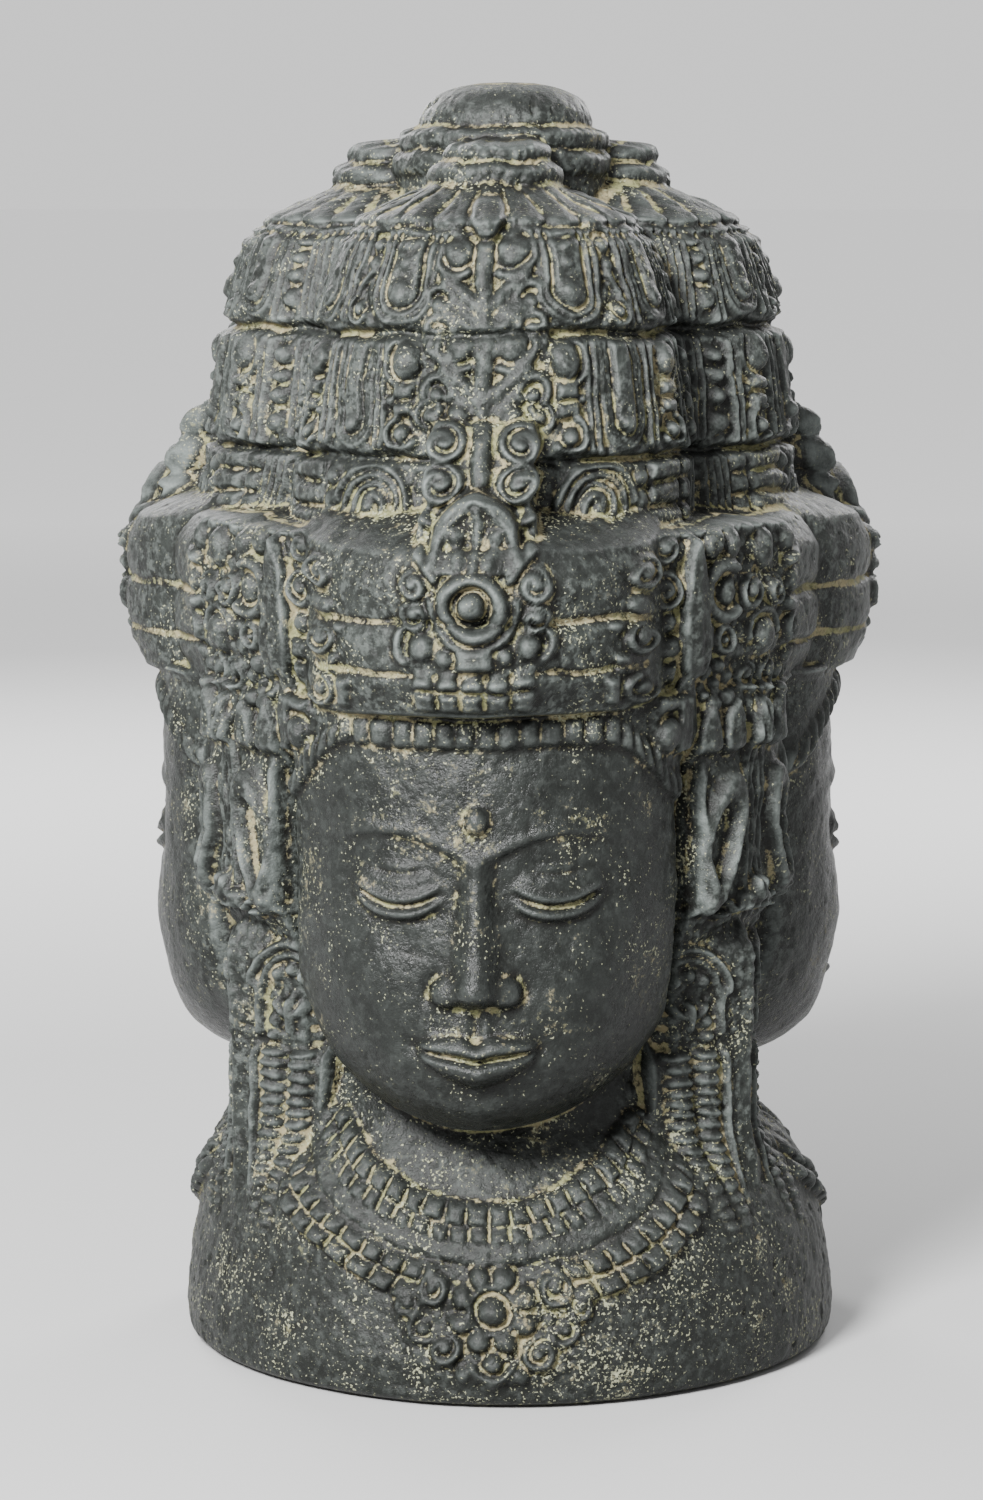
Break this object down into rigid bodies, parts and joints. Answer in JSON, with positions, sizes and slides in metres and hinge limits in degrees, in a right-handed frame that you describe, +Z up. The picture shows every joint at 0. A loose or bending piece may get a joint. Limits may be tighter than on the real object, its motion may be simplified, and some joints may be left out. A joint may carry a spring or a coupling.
{
  "type": "garden bust",
  "caption": "Garden bust of a multi-faced deity in dark cast stone: heads back to back under a tall lobed crown, with diadems, necklaces and a round flat base.",
  "frame": {"origin": "middle of the flat round underside, on the ground", "axes": "+Z up through the crown, -Y out of the front face, +X to the front face's left"},
  "size_m": [0.3745, 0.3617, 0.6],
  "materials": {
    "stone": "satin"
  },
  "bodies": {
    "root": {"trimurti_bust": "stone"}
  },
  "joints": []
}
